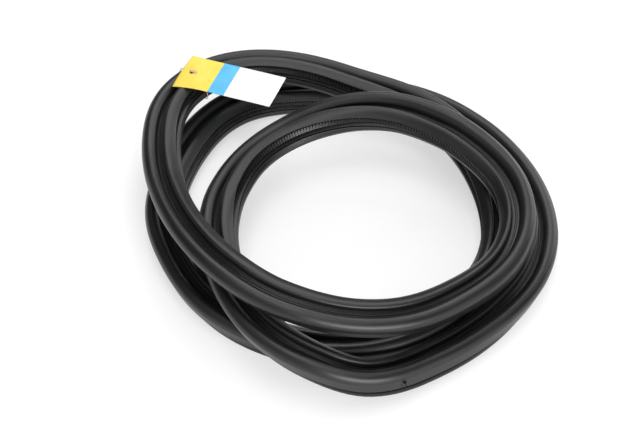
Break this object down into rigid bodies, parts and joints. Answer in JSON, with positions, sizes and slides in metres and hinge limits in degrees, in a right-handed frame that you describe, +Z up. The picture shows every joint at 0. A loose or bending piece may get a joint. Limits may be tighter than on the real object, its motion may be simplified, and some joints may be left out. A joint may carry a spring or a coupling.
{
  "type": "trunk weatherstrip",
  "caption": "Closed ring of black rubber seal, a bulb on a slotted carrier, folded into a loose coil, with a card tag on a nylon tie.",
  "frame": {"origin": "on the floor, below the middle of the coil's box", "axes": "+X to the coil's right as its front is seen, +Y to its back, +Z up"},
  "size_m": [0.4152, 0.435, 0.0976],
  "materials": {
    "black_rubber": "matte",
    "tag_card": "matte",
    "clear_nylon": "satin"
  },
  "bodies": {
    "root": {"weatherstrip": "black_rubber", "tag": "tag_card", "tag_tie": "clear_nylon"}
  },
  "joints": []
}
